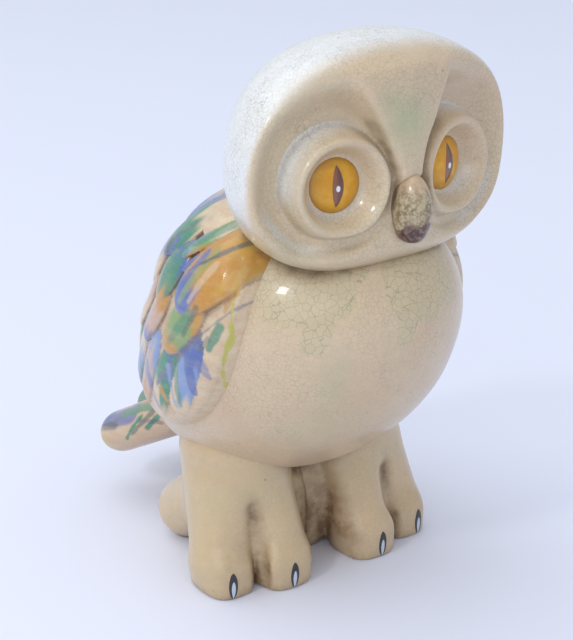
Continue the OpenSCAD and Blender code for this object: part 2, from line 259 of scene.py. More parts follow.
def head_field(p, softness=6.0):
    q = both_sides(into_head(p))
    x, y, z = q[..., 0], q[..., 1], q[..., 2]
    wide = HEAD_WIDE * np.where(y > -66, arch(y, -66, 70), arch(y, -66, 60))
    up = HEAD_UP * np.where(y > -50, arch(y, -50, 54), arch(y, -50, 46))
    down = HEAD_DOWN * np.where(y > -50, arch(y, -50, 54), arch(y, -50, 40))
    tall = np.where(z > HEAD_MID, up, down)
    r = ((x / wide) ** 2.25 + (np.abs(z - HEAD_MID) / tall) ** 2.25) ** (1 / 2.25)
    dome = (r - 1) * HEAD_ROUND
    dome = np.where(y > 3.9, np.maximum(dome, y - 4), dome)
    across, out = disc_axes()
    e = q - EYE
    face = (e @ out - disc_height(e @ across, e[..., 2])) * 0.75
    skull = blend_max(dome, face, softness)
    # the brow comes down between the discs as a blunt wedge with crisp flanks
    drop = np.clip(z - 212, -20, 45)
    flank = (x - 6.2 - 0.44 * np.maximum(drop, 0)) * 0.92
    front = (-81.0 - y + 0.13 * drop) * 0.98
    brow = blend_max(blend_max(flank, front, 4.2), np.maximum(208 - z, z - 254), 4.0)
    brow = np.maximum(brow, y + 50)
    return blend_min(skull, brow, 5.5)


def body_middle(z):
    """How far back the middle of the body lies at a height."""
    return 10 - 38 * soft_step(46, 170, z)


def body_field(p, grow=0.0):
    x, y, z = p[..., 0], p[..., 1], p[..., 2]
    tall = np.where(z > BODY_MID, BODY_UP, BODY_DOWN) + grow
    power = np.where(z > BODY_MID, 2.3, 2.0)
    flat = np.sqrt((x / (BODY_WIDE + grow)) ** 2 + ((y - body_middle(z)) / (BODY_DEEP + grow)) ** 2)
    return ((flat**power + (np.abs(z - BODY_MID) / tall) ** power) ** (1 / power) - 1) * BODY_ROUND


def beak_field(p):
    q = into_head(p)
    taper = 1 + 0.12 * soft_step(-2, 14, q[..., 2] - 194.5)
    q = q * np.stack([taper, np.ones_like(taper), np.ones_like(taper)], -1)
    egg = lump(q, (0, -80, 194.5), (8.8, 9.5, 15.8))
    return blend_max(egg, (180.0 - q[..., 2]) * 0.95 + (q[..., 1] + 80) * 0.1, 2.4)


def foot_field(p, softness=7.0):
    """Leg and toes of the side that x is positive on."""
    leg = roll(p, (33, -3, 62), (37, -6, 24), 27, 22)
    outer = roll(p, (46.5, -9, 47), (53.5, -19, 14), 15, 14)
    inner = roll(p, (26, -13, 46), (25.5, -27, 14), 15, 15)
    hind = roll(p, (36, 8, 34), (36, 35, 15), 17, 15.5)
    outer = blend_min(outer, block(p, (52.8, -20, 7), (12.6, 16.2, 14)), 5.0)
    inner = blend_min(inner, block(p, (26, -28, 7), (14, 16.0, 14)), 5.0)
    toes = blend_min(outer, inner, 1.0)
    clay = blend_min(blend_min(leg, toes, softness), hind, 6.0)
    groove = roll(p, (TOE_GAP, -31, 39), (TOE_GAP, -37, 4), 2.8, 1.6)
    clay = blend_max(clay, -groove, 5.0)
    # a web of clay joins the legs and ends on the middle of the owl
    web = lump(p, (7, 0, 22), (15, 19, 32))
    clay = np.maximum(blend_min(clay, web, 5.0), -0.4 - p[..., 0])
    return blend_max(clay, -p[..., 2], 1.2)


# Lobes of the tail: root, end, root radius, end radius, squeeze across
TAIL_LOBES = (
    ((-16, 46, 64), (-35.5, 99, 34), 12, 11.2, 0.84),
    ((0, 46, 64), (0, 117, 36.5), 12, 11, 0.72),
    ((16, 46, 64), (35.5, 99, 34), 12, 11.2, 0.84),
)


def tail_field(p):
    lobes = []
    for start, end, start_r, end_r, narrow in TAIL_LOBES:
        squeeze = np.array([narrow, 1, 1])
        lobes.append(roll(p * squeeze, start * squeeze, end * squeeze, start_r, end_r))
    return blend_min(np.minimum(lobes[0], lobes[2]), lobes[1], 1.2)


# Feathers of a wing in its side view, millimetres back and up:
# root, tip, width, lift, crown, root colour, middle colour, tip colour
FEATHERS = (
    ((-30, 197), (-8, 178), 26, 1.9, 1.6, "ground", "ground", "ground"),
    ((6, 196), (30, 170), 16, 0.7, 1.2, "ground", "cobalt", "sky"),
    ((-13, 188), (15, 161), 17, 2.4, 1.8, "ground", "sea_green", "deep"),
    ((-34, 186), (-8, 165), 8, 2.6, 1.5, "ground", "leaf", "sky"),
    ((-41, 182), (-13, 160), 7.5, 2.3, 1.4, "ochre", "rose", "cobalt"),
    ((-50, 181), (-17, 146), 30, 1.9, 3.2, "amber", "ochre", "cobalt"),
    ((-9, 172), (4, 142), 19, 1.5, 2.3, "cobalt", "sea_green", "ochre"),
    ((16, 170), (28, 142), 17, 1.3, 2.0, "sky", "ground", "cobalt"),
    ((32, 172), (44, 146), 16, 1.3, 2.0, "sea_green", "sky", "ground"),
    ((-34, 153), (-13, 125), 21, 1.0, 2.2, "ochre", "leaf", "ochre"),
    ((-6, 150), (12, 122), 16, 0.9, 2.0, "ochre", "rose", "cobalt"),
    ((16, 150), (31, 121), 15, 0.8, 1.9, "rose", "ground", "ochre"),
    ((33, 150), (44, 126), 14, 0.8, 1.7, "sky", "rose", "ground"),
    ((-52, 152), (-31, 103), 24, 0.0, 0.6, "ground", "ground", "ground"),
    ((-38, 138), (-17, 92), 16, 0.2, 1.0, "cobalt", "sky", "ground"),
    ((-22, 132), (-2, 88), 15, 0.3, 1.1, "cobalt", "sea_green", "ground"),
    ((-6, 131), (13, 87), 14, 0.3, 1.2, "sky", "rose", "ochre"),
    ((10, 129), (28, 90), 14, 0.3, 1.2, "ground", "sky", "cobalt"),
    ((25, 128), (40, 98), 13, 0.2, 1.1, "sea_green", "ground", "sky"),
)


def feather_place(f, y, z):
    """How far a point lies along a feather, how far across it, and how near its edge."""
    (ry, rz), (ty, tz), width = f[0], f[1], f[2]
    dy, dz = ty - ry, tz - rz
    length = math.hypot(dy, dz)
    along = ((y - ry) * dy + (z - rz) * dz) / length**2
    across = ((z - rz) * dy - (y - ry) * dz) / length / (width / 2)
    taper = 1 - 0.25 * np.clip(along, 0, 1) ** 3
    edge = (np.abs(2 * along - 1) ** 2.5 + np.abs(across / taper) ** 2.2) ** (1 / 2.35)
    return along, across, edge


def feather_heights(y, z, share):
    """Height of each feather over the wing slab."""
    rows = []
    for f in FEATHERS:
        along, _, edge = feather_place(f, y, z)
        crown = np.sqrt(np.clip(1 - edge**2, 0, 1))
        tilt = 0.55 + 0.45 * np.clip(along, 0, 1)
        height = f[3] * tilt + f[4] * crown
        rows.append(np.where(edge < 1.25, height * (1 - soft_step(0.94, 1.05, edge)), 0.0) * share)
    return np.stack(rows)


def wing_edge(y, z):
    """How far outside the wing's leaning oval a point lies."""
    t = math.radians(14)
    dy, dz = y + 6, z - 143
    across = dy * math.cos(t) + dz * math.sin(t)
    along = -dy * math.sin(t) + dz * math.cos(t)
    return (np.sqrt((across / 47) ** 2 + (along / 61) ** 2) - 1) * 47


def wing_field(p, thickness=6.0, share=1.0):
    """Wing of the side that x is positive on."""
    y, z = p[..., 1], p[..., 2]
    relief = feather_heights(y, z, share)
    top = relief.max(0)
    oval = wing_edge(y, z)
    inside = 1 - soft_step(-9, -1, oval)
    fuller = 4.5 * soft_step(-25, 30, y) * soft_step(135, 165, z)
    thinner = 2.5 * soft_step(-10, 30, y) * (1 - soft_step(105, 130, z))
    outer = body_field(p, thickness - 1.2 + fuller - thinner + top * inside)
    slab = blend_max(outer, oval, 5.0)
    slab = np.maximum(slab, -body_field(p, -3.0))
    return np.maximum(slab, 18 - p[..., 0])


def owl_field(p):
    """The whole owl, roughly, for the dirt and painted shade in its hollows."""
    q = both_sides(p)
    parts = (head_field(p), body_field(p), beak_field(p), foot_field(q), tail_field(p))
    wing = np.maximum(body_field(q, 6.0), wing_edge(q[..., 1], q[..., 2]))
    return np.minimum(np.minimum.reduce(parts), wing)


# ---------------------------------------------------------------- from field to mesh


def net_over(field, low, high, step, settle=2):
    """Quads over the field's zero surface: one point in each cell that it crosses."""
    low, high = np.array(low, float), np.array(high, float)
    n = np.ceil((high - low) / step).astype(int) + 1
    axes = [low[i] + step * np.arange(n[i]) for i in range(3)]
    y, z = np.meshgrid(axes[1], axes[2], indexing="ij")
    value = np.stack([field(np.stack([np.full_like(y, x), y, z], -1)) for x in axes[0]])
    inside = value < 0
    cells = n - 1
    count, total = np.zeros(cells), np.zeros((*cells, 3))
    crossings = []
    for axis in range(3):
        first = tuple(slice(0, -1) if k == axis else slice(None) for k in range(3))
        second = tuple(slice(1, None) if k == axis else slice(None) for k in range(3))
        crossed = inside[first] != inside[second]
        index = np.argwhere(crossed)
        place = index.astype(float)
        place[:, axis] += value[first][crossed] / (value[first][crossed] - value[second][crossed])
        others = [k for k in range(3) if k != axis]
        for du in (0, -1):
            for dv in (0, -1):
                cell = index.copy()
                cell[:, others[0]] += du
                cell[:, others[1]] += dv
                ok = ((cell >= 0) & (cell < cells)).all(1)
                np.add.at(count, tuple(cell[ok].T), 1)
                np.add.at(total, tuple(cell[ok].T), place[ok])
        crossings.append((axis, others, index, inside[tuple(index.T)]))
    used = count > 0
    number = -np.ones(cells, int)
    number[used] = np.arange(used.sum())
    points = total[used] / count[used][:, None] * step + low
    quads = []
    for axis, others, index, starts_inside in crossings:
        corner = []
        for du, dv in ((-1, -1), (0, -1), (0, 0), (-1, 0)):
            cell = index.copy()
            cell[:, others[0]] += du
            cell[:, others[1]] += dv
            corner.append(cell)
        ok = np.all([((c >= 0) & (c < cells)).all(1) for c in corner], 0)
        quad = np.stack([number[tuple(c[ok].T)] for c in corner], 1)
        keep = starts_inside[ok] if axis != 1 else ~starts_inside[ok]
        quad[~keep] = quad[~keep][:, ::-1]
        quads.append(quad)
    for _ in range(settle):
        slope = slope_of(field, points, step * 0.25)
        move = -(field(points) / np.maximum((slope**2).sum(-1), 1e-6))[:, None] * slope
        length = np.maximum(np.sqrt((move**2).sum(-1)), 1e-9)
        points = points + move * np.minimum(1, 0.6 * step / length)[:, None]
    return points, np.concatenate(quads)


def slope_of(field, points, e):
    shifts = np.eye(3) * e
    return np.stack([field(points + s) - field(points - s) for s in shifts], -1) / (2 * e)


def outward(field, points, e=0.4):
    slope = slope_of(field, points, e)
    return slope / np.maximum(np.sqrt((slope**2).sum(-1, keepdims=True)), 1e-9)


def hollow(points, normals, reach):
    """1 in a deep crease of the owl, 0 where the clay is open to the air."""
    open_to = owl_field(points + normals * reach)
    slope = 0.5 * (owl_field(points + normals * (reach + 1)) - owl_field(points + normals * (reach - 1)))
    return np.clip(1 - open_to / (reach * np.clip(slope, 0.5, 1.2)), 0, 1)


def to_frame(points):
    return (np.asarray(points) - np.array([0, SET_BACK, 0])) * MM


def add_piece(name, mesh):
    """An object for a finished mesh, which rides on the owl's one body."""
    if not len(mesh.polygons):
        raise RuntimeError(f"no faces were made for {name}")
    piece = bpy.data.objects.new(name, mesh)
    bpy.context.scene.collection.objects.link(piece)
    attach(piece, "root")
    return piece


def make_piece(name, points, faces, material, values, paint=None):
    """A smooth piece in the row frame, with numbers and perhaps a paint colour on its points."""
    mesh = bpy.data.meshes.new(name)
    faces = np.asarray(faces, np.int32)
    mesh.vertices.add(len(points))
    mesh.vertices.foreach_set("co", to_frame(points).astype(np.float32).ravel())
    mesh.loops.add(faces.size)
    mesh.loops.foreach_set("vertex_index", faces.ravel())
    mesh.polygons.add(len(faces))
    mesh.polygons.foreach_set("loop_start", np.arange(len(faces), dtype=np.int32) * faces.shape[1])
    mesh.polygons.foreach_set("use_smooth", np.ones(len(faces), bool))
    for key, data in values.items():
        layer = mesh.attributes.new(key, "FLOAT", "POINT")
        layer.data.foreach_set("value", np.asarray(data, np.float32))
    if paint is not None:
        layer = mesh.attributes.new("paint", "FLOAT_COLOR", "POINT")
        rgba = np.concatenate([paint, np.ones((len(paint), 1))], 1)
        layer.data.foreach_set("color", rgba.astype(np.float32).ravel())
    mesh.update(calc_edges=True)
    mesh.validate()
    mesh.materials.append(material)
    return add_piece(name, mesh)


def on_side(points, quads, side):
    """Points and faces that were made for the positive side, put on either side."""
    return points * np.array([side, 1, 1]), quads if side > 0 else quads[:, ::-1]


# ---------------------------------------------------------------- shader nodes


def add(tree, kind, inputs=None, **settings):
    """A node with its settings made and its inputs set or linked, by name or number."""
    node = tree.nodes.new(kind)
    for key, value in settings.items():
        setattr(node, key, value)
    for key, value in (inputs or {}).items():
        socket = node.inputs[key]
        if isinstance(value, bpy.types.NodeSocket):
            tree.links.new(value, socket)
        else:
            socket.default_value = value
    return node


def maths(tree, operation, *values, clamp=False):
    return add(tree, "ShaderNodeMath", dict(enumerate(values)), operation=operation, use_clamp=clamp).outputs[0]


def product(tree, *values, clamp=False):
    result = values[0]
    for value in values[1:]:
        result = maths(tree, "MULTIPLY", result, value, clamp=clamp)
    return result


def jittered(tree, value, grain, amount):
    """A value moved up and down by a grain that runs from 0 to 1."""
    return maths(tree, "MULTIPLY_ADD", maths(tree, "SUBTRACT", grain, 0.5), amount, value)


def vectors(tree, operation, a, b):
    return add(tree, "ShaderNodeVectorMath", {0: a, 1: b}, operation=operation).outputs[0]


def scaled(tree, vector, factor):
    return add(tree, "ShaderNodeVectorMath", {0: vector, "Scale": factor}, operation="SCALE").outputs[0]


def mix(tree, share, a, b):
    """From colour a to colour b, each a socket or three numbers."""
    a, b = (c if isinstance(c, bpy.types.NodeSocket) else (*c[:3], 1) for c in (a, b))
    return add(tree, "ShaderNodeMix", {0: share, 6: a, 7: b}, data_type="RGBA").outputs[2]


def ramp(tree, value, low, high, out_low=0.0, out_high=1.0):
    return add(
        tree, "ShaderNodeMapRange",
        {"Value": value, "From Min": low, "From Max": high, "To Min": out_low, "To Max": out_high},
        interpolation_type="SMOOTHSTEP",
    ).outputs[0]


def named(tree, name, output="Fac"):
    return add(tree, "ShaderNodeAttribute", attribute_name=name, attribute_type="GEOMETRY").outputs[output]


def object_place(tree):
    return add(tree, "ShaderNodeTexCoord").outputs["Object"]


def noise(tree, place, scale, detail, roughness=0.5, output="Fac"):
    inputs = {"Vector": place, "Scale": scale, "Detail": detail, "Roughness": roughness}
    return add(tree, "ShaderNodeTexNoise", inputs).outputs[output]


def cells(tree, place, scale, randomness, feature="F1"):
    inputs = {"Vector": place, "Scale": scale, "Randomness": randomness}
    return add(tree, "ShaderNodeTexVoronoi", inputs, feature=feature).outputs


def new_group(name, inputs, outputs):
    """A shader group of number sockets, its input sockets and its output node."""
    group = bpy.data.node_groups.new(name, "ShaderNodeTree")
    for label, value in inputs.items():
        socket = group.interface.new_socket(label, in_out="INPUT", socket_type="NodeSocketFloat")
        socket.default_value = value
    for label in outputs:
        group.interface.new_socket(label, in_out="OUTPUT", socket_type="NodeSocketFloat")
    return group, group.nodes.new("NodeGroupInput").outputs, group.nodes.new("NodeGroupOutput")


def crazing_group():
    """Fine cracks all over, and broad ones where the glaze ran thick."""
    group, given, out = new_group(
        "Crazed glaze",
        {"Cell": 2.3, "Fine Strength": 0.5, "Broad Strength": 0.3, "Thick": 0.0},
        ("Lines", "Cells", "Height"),
    )
    place = scaled(group, object_place(group), 1 / MM)
    sway = vectors(group, "SUBTRACT", noise(group, place, 0.22, 2.0, output="Color"), (0.5, 0.5, 0.5))
    bent = vectors(group, "ADD", place, scaled(group, sway, 2.4))
    fine_place = scaled(group, bent, maths(group, "DIVIDE", 1.0, given["Cell"]))
    broad_place = scaled(group, fine_place, 0.66)
    fine, broad = (
        ramp(group, cells(group, vector, 1.0, 0.95, "DISTANCE_TO_EDGE")["Distance"], 0.0, width, 1.0, 0.0)
        for vector, width in ((fine_place, 0.075), (broad_place, 0.05))
    )
    tone = add(group, "ShaderNodeSeparateColor", {"Color": cells(group, broad_place, 1.0, 0.95)["Color"]})
    patch = ramp(group, noise(group, place, 0.045, 3.0), 0.36, 0.66, 0.35, 1.0)
    thin = maths(group, "SUBTRACT", 1.0, maths(group, "MULTIPLY", given["Thick"], 0.55))
    fine = product(group, fine, given["Fine Strength"], patch, thin)
    broad = product(group, broad, maths(group, "MULTIPLY_ADD", given["Thick"], 0.85, given["Broad Strength"]))
    lines = maths(group, "MAXIMUM", fine, broad, clamp=True)
    waves = noise(group, place, 0.09, 2.0)
    height = maths(group, "MULTIPLY_ADD", waves, 2.2, maths(group, "MULTIPLY", lines, -0.10))
    for label, socket in (("Lines", lines), ("Cells", tone.outputs[0]), ("Height", height)):
        group.links.new(socket, out.inputs[label])
    return group


def dirt_and_shade_group():
    """Painted shade and brown dirt in the creases, and a scatter of dark specks."""
    group, given, out = new_group(
        "Hollow dirt and shade", {"Hollow": 0.0, "Amount": 1.0, "Specks": 0.2}, ("Dirt and Shade", "Speck")
    )
    place = object_place(group)
    # The hollows darken toward brown: painted shade where the creases lie in shadow, together with dirt
    patchy_amount = ramp(group, noise(group, place, 160.0, 5.0, 0.65), 0.3, 0.72, 0.55, 1.25)
    dirt_and_shade = product(group, product(group, given["Hollow"], patchy_amount), given["Amount"], clamp=True)
    dots = cells(group, place, 90.0, 1.0)
    chosen = add(group, "ShaderNodeSeparateColor", {"Color": dots["Color"]}).outputs[1]
    dot = ramp(group, dots["Distance"], 0.03, 0.075, 1.0, 0.0)
    speck = product(group, dot, ramp(group, chosen, 0.90, 0.92), given["Specks"])
    group.links.new(dirt_and_shade, out.inputs["Dirt and Shade"])
    group.links.new(speck, out.inputs["Speck"])
    return group


def shared(name, build, inputs, tree):
    """A material's own use of a shared group, which is built the first time."""
    group = bpy.data.node_groups.get(name) or build()
    return add(tree, "ShaderNodeGroup", inputs, node_tree=group).outputs


def crazed(tree, fine, broad, thick=0.0):
    inputs = {"Cell": finish().craze_cell / MM, "Fine Strength": fine, "Broad Strength": broad, "Thick": thick}
    return shared("Crazed glaze", crazing_group, inputs, tree)


# Painted shade and dirt in a piece's hollows, read from its hollow attribute
def dirt_and_shade_in_hollows(tree, amount, specks):
    inputs = {"Hollow": named(tree, "hollow"), "Amount": amount, "Specks": specks}
    return shared("Hollow dirt and shade", dirt_and_shade_group, inputs, tree)


def new_material(name, roughness, coat=0.4, coat_roughness=0.06):
    material = bpy.data.materials.new(name)
    material.use_nodes = True
    tree = material.node_tree
    tree.nodes.clear()
    numbers = {"Roughness": roughness, "Coat Weight": coat, "Coat Roughness": coat_roughness, "IOR": 1.5}
    shader = add(tree, "ShaderNodeBsdfPrincipled", numbers)
    add(tree, "ShaderNodeOutputMaterial", {0: shader.outputs[0]})
    return material, tree, shader


def colour_it(tree, shader, colour, height=None, strength=0.0, distance=0.0):
    """Link a material's colour, and its bump where it has one."""
    tree.links.new(colour, shader.inputs["Base Color"])
    if height:
        node = add(tree, "ShaderNodeBump", {"Height": height, "Strength": strength, "Distance": distance})
        tree.links.new(node.outputs["Normal"], shader.inputs["Normal"])


def finish():
    return bpy.context.scene.owl_finish


def between(a, b, share):
    return np.array(a) * (1 - share) + np.array(b) * share


# ---------------------------------------------------------------- materials


def plain_glaze(name, ground, second, fine, broad, dirt_and_shade, specks, tint=0.0, pale=None):
    """Crazed cream glaze between two ground colours, with pooled glaze, and dirt and painted shade in the
    hollows.
    """
    look = finish()
    material, tree, shader = new_material(name, 0.34)
    place = object_place(tree)
    drift = noise(tree, place, 14.0, 4.0, 0.55)
    colour = mix(tree, ramp(tree, drift, 0.34, 0.66), ground, second)
    thick = ramp(tree, jittered(tree, named(tree, "thick"), noise(tree, place, 260.0, 2.0), 0.55), 0.46, 0.54)
    pooled = ramp(tree, named(tree, "pooled"), 0.0, 1.0)
    green = maths(tree, "MAXIMUM", product(tree, thick, 0.45), product(tree, pooled, 0.8))
    colour = mix(tree, green, colour, look.pooled)
    # Whiter on the faces of the dome that turn up: partly whiter glaze, partly painted top light and sheen
    if pale:
        whiter_and_top_lit = product(tree, named(tree, "dome"), ramp(tree, drift, 0.25, 0.6, 0.78, 1.0))
        colour = mix(tree, whiter_and_top_lit, colour, pale)
    craze = crazed(tree, fine, broad, thick)
    colour = mix(tree, ramp(tree, craze["Cells"], 0.0, 1.0, 0.0, 0.10), colour, look.craze)
    if tint:
        colour = mix(tree, product(tree, named(tree, "stain"), tint), colour, (0.30, 0.42, 0.24))
    colour = mix(tree, product(tree, craze["Lines"], 0.85), colour, look.craze)
    # Painted shade and dirt darken the hollows toward brown; the specks are dirt
    dirt_and_shade_marks = dirt_and_shade_in_hollows(tree, dirt_and_shade, specks)
    colour = mix(tree, dirt_and_shade_marks["Dirt and Shade"], colour, look.dirt_and_shade)
    colour = mix(tree, dirt_and_shade_marks["Speck"], colour, look.dirt_and_shade)
    tree.links.new(ramp(tree, dirt_and_shade_marks["Dirt and Shade"], 0.0, 0.6, 0.32, 0.6), shader.inputs["Roughness"])
    colour_it(tree, shader, colour, craze["Height"], 0.6, 0.00022)
    return material


def beak_glaze():
    """Buff beak, speckled brown, that turns a dark plum brown toward its tip."""
    look = finish()
    material, tree, shader = new_material("Beak glaze", 0.3)
    place = object_place(tree)
    grain = noise(tree, place, 420.0, 6.0, 0.7)
    dark = jittered(tree, named(tree, "tip"), noise(tree, place, 150.0, 3.0), 0.9)
    dark = ramp(tree, jittered(tree, dark, grain, 0.7), 0.40, 0.62)
    colour = mix(tree, ramp(tree, grain, 0.38, 0.62), (0.50, 0.42, 0.26), (0.22, 0.15, 0.08))
    colour = mix(tree, ramp(tree, named(tree, "crown"), 0.0, 1.0, 0.0, 0.7), colour, look.blush)
    plum = mix(tree, ramp(tree, grain, 0.42, 0.66), (0.055, 0.022, 0.020), (0.26, 0.15, 0.10))
    colour = mix(tree, dark, colour, plum)
    # Painted shade and dirt where the beak meets the face
    colour = mix(tree, dirt_and_shade_in_hollows(tree, 0.9, 0.3)["Dirt and Shade"], colour, look.dirt_and_shade)
    colour_it(tree, shader, colour, grain, 0.35, 0.0003)
    return material


def painted_glaze():
    """Brushed majolica colours over the cream ground, under a deep gloss."""
    look = finish()
    material, tree, shader = new_material("Painted glaze", 0.3, 0.45, 0.04)
    brush = {"Vector": object_place(tree), "Rotation": (0.9, 0, 0), "Scale": (1.0, 0.35, 1.6)}
    streak = noise(tree, add(tree, "ShaderNodeMapping", brush).outputs[0], 190.0, 4.0, 0.6)
    cover = product(tree, named(tree, "cover"), ramp(tree, streak, 0.30, 0.62, 0.86, 1.0))
    ground = mix(tree, ramp(tree, streak, 0.3, 0.7), look.cream, look.blush)
    colour = mix(tree, cover, ground, named(tree, "paint", "Color"))
    colour = mix(tree, ramp(tree, streak, 0.55, 0.8, 0.0, 0.10), colour, (0.75, 0.68, 0.52))
    craze = crazed(tree, 0.3, 0.16)
    colour = mix(tree, product(tree, craze["Lines"], 0.6), colour, (0.20, 0.17, 0.12))
    # Painted shade and dirt darken the creases between feathers and at the edges
    colour = mix(tree, dirt_and_shade_in_hollows(tree, 0.75, 0.1)["Dirt and Shade"], colour, (0.10, 0.07, 0.035))
    colour_it(tree, shader, colour, craze["Height"], 0.7, 0.0003)
    return material


def iris_enamel():
    """Amber iris, stippled and darker toward its rim."""
    look = finish()
    material, tree, shader = new_material("Iris enamel", 0.3, 0.3, 0.05)
    place = object_place(tree)
    stipple = noise(tree, place, 900.0, 3.0, 0.7)
    cloud = noise(tree, place, 190.0, 2.0)
    rim = named(tree, "rim")
    colour = mix(tree, ramp(tree, cloud, 0.35, 0.65), look.amber, (0.76, 0.39, 0.012))
    ragged = jittered(tree, rim, stipple, 0.55)
    colour = mix(tree, ramp(tree, ragged, 0.55, 1.0, 0.0, 0.75), colour, (0.50, 0.25, 0.02))
    colour = mix(tree, ramp(tree, rim, 0.86, 1.0, 0.0, 0.9), colour, look.rust)
    colour_it(tree, shader, colour, stipple, 0.12, 0.0001)
    return material


def pupil_enamel():
    """Umber slit, lighter on one side."""
    material, tree, shader = new_material("Pupil enamel", 0.25, 0.9, 0.03)
    light = ramp(tree, named(tree, "spot_across"), -0.5, 0.35)
    colour_it(tree, shader, mix(tree, light, (0.24, 0.075, 0.03), finish().umber))
    return material


def white_enamel():
    """White of a catchlight, with a faint cloud in it."""
    material, tree, shader = new_material("White enamel", 0.25, 0.8, 0.04)
    cloud = noise(tree, object_place(tree), 1500.0, 1.0)
    colour_it(tree, shader, mix(tree, cloud, (0.86, 0.86, 0.84), (0.74, 0.76, 0.80)))
    return material


def claw_enamel():
    """Black claw with a pale blue-white heart toward the ground."""
    material, tree, shader = new_material("Claw enamel", 0.22, 0.9, 0.04)
    wide = maths(tree, "ABSOLUTE", product(tree, named(tree, "spot_across"), 1.75))
    low = maths(tree, "ABSOLUTE", maths(tree, "MULTIPLY_ADD", named(tree, "spot_along"), 1.25, 0.42))
    reach = maths(tree, "ADD", maths(tree, "POWER", wide, 2.0), maths(tree, "POWER", low, 2.0))
    heart = ramp(tree, reach, 0.62, 0.86, 1.0, 0.0)
    colour_it(tree, shader, mix(tree, heart, (0.004, 0.004, 0.006), (0.52, 0.60, 0.70)))
    return material


def floor_paper():
    """Pale paper under the owl."""
    material, tree, shader = new_material("Pale paper", 0.6, 0.0)
    shade = noise(tree, object_place(tree), 1.2, 1.0)
    colour_it(tree, shader, mix(tree, shade, (0.785, 0.815, 0.945), (0.80, 0.83, 0.96)))
    return material


def kept(name, build):
    return bpy.data.materials.get(name) or build()


# ---------------------------------------------------------------- enamel spots that lie on the clay


def geometry(tree, kind, inputs=None, output=0, **settings):
    return add(tree, f"GeometryNode{kind}", inputs, **settings).outputs[output]


def spot_tree():
    """Lens-shaped spots at given points, drawn onto a surface and closed behind."""
    tree = bpy.data.node_groups.new("Enamel spots", "GeometryNodeTree")
    for label, kind in (
        ("Points", "Geometry"), ("Surface", "Object"), ("Width", "Float"), ("Length", "Float"),
        ("Thickness", "Float"), ("Point Sharpness", "Float"), ("Material", "Material"),
    ):
        tree.interface.new_socket(label, in_out="INPUT", socket_type=f"NodeSocket{kind}")
    tree.interface.new_socket("Spots", in_out="OUTPUT", socket_type="NodeSocketGeometry")
    given = tree.nodes.new("NodeGroupInput").outputs

    # a flat lens about the origin, which keeps how far each point lies across and along it
    spot = geometry(tree, "MeshGrid", {"Size X": 1.0, "Size Y": 1.0, "Vertices X": 17, "Vertices Y": 41})
    place = geometry(tree, "InputPosition")
    split = add(tree, "ShaderNodeSeparateXYZ", {0: place}).outputs
    for key, way in (("spot_across", "X"), ("spot_along", "Y")):
        kept_number = {"Geometry": spot, "Name": key, "Value": product(tree, split[way], 2.0)}
        spot = geometry(tree, "StoreNamedAttribute", kept_number, data_type="FLOAT", domain="POINT")
    along = geometry(tree, "InputNamedAttribute", {"Name": "spot_along"}, data_type="FLOAT")
    facing = geometry(tree, "InputNamedAttribute", {"Name": "facing"}, data_type="FLOAT_VECTOR")
    waist = maths(tree, "MAXIMUM", maths(tree, "SUBTRACT", 1.0, product(tree, along, along)), 0.0)
    wide = product(tree, maths(tree, "POWER", waist, given["Point Sharpness"]), given["Width"])
    x, y = product(tree, split["X"], wide), product(tree, split["Y"], given["Length"])
    lens = add(tree, "ShaderNodeCombineXYZ", {"X": x, "Y": y}).outputs[0]
    spot = geometry(tree, "SetPosition", {"Geometry": spot, "Position": lens})

    # one at each point, upright and turned the way that the point faces
    align = "FunctionNodeAlignRotationToVector"
    aim = add(tree, align, {"Vector": facing}, axis="Z").outputs[0]
    aim = add(tree, align, {"Rotation": aim, "Vector": (0, 0, 1)}, axis="Y", pivot_axis="Z").outputs[0]
    points = geometry(tree, "MeshToPoints", {"Mesh": given["Points"]})
    spots = geometry(tree, "InstanceOnPoints", {"Points": points, "Instance": spot, "Rotation": aim})
    spots = geometry(tree, "RealizeInstances", {"Geometry": spots})

    # drawn back onto the clay, sunk a little, and given its thickness
    clay = geometry(tree, "ObjectInfo", {"Object": given["Surface"]}, "Geometry", transform_space="RELATIVE")
    inward = scaled(tree, facing, -1.0)
    ray = {"Target Geometry": clay, "Source Position": place, "Ray Direction": inward, "Ray Length": 0.06}
    hit = geometry(tree, "Raycast", ray, "Hit Position", data_type="FLOAT")
    base = vectors(tree, "ADD", hit, scaled(tree, facing, -SPOT_SINK))
    spots = geometry(tree, "SetPosition", {"Geometry": spots, "Position": base})
    lift = scaled(tree, facing, maths(tree, "ADD", given["Thickness"], SPOT_SINK))
    lifted = {"Mesh": spots, "Offset": lift, "Offset Scale": 1.0, "Individual": False}
    raised = geometry(tree, "ExtrudeMesh", lifted, mode="FACES")
    back = geometry(tree, "FlipFaces", {"Mesh": spots})
    closed = tree.nodes.new("GeometryNodeJoinGeometry")
    tree.links.new(raised, closed.inputs[0])
    tree.links.new(back, closed.inputs[0])
    merged = geometry(tree, "MergeByDistance", {"Geometry": closed.outputs[0], "Distance": 0.004 * MM})
    smooth = geometry(tree, "SetShadeSmooth", {"Geometry": merged, "Shade Smooth": True})
    whole = geometry(tree, "RealizeInstances", {"Geometry": smooth})
    painted = geometry(tree, "SetMaterial", {"Geometry": whole, "Material": given["Material"]})
    add(tree, "NodeGroupOutput", {0: painted})
    return tree


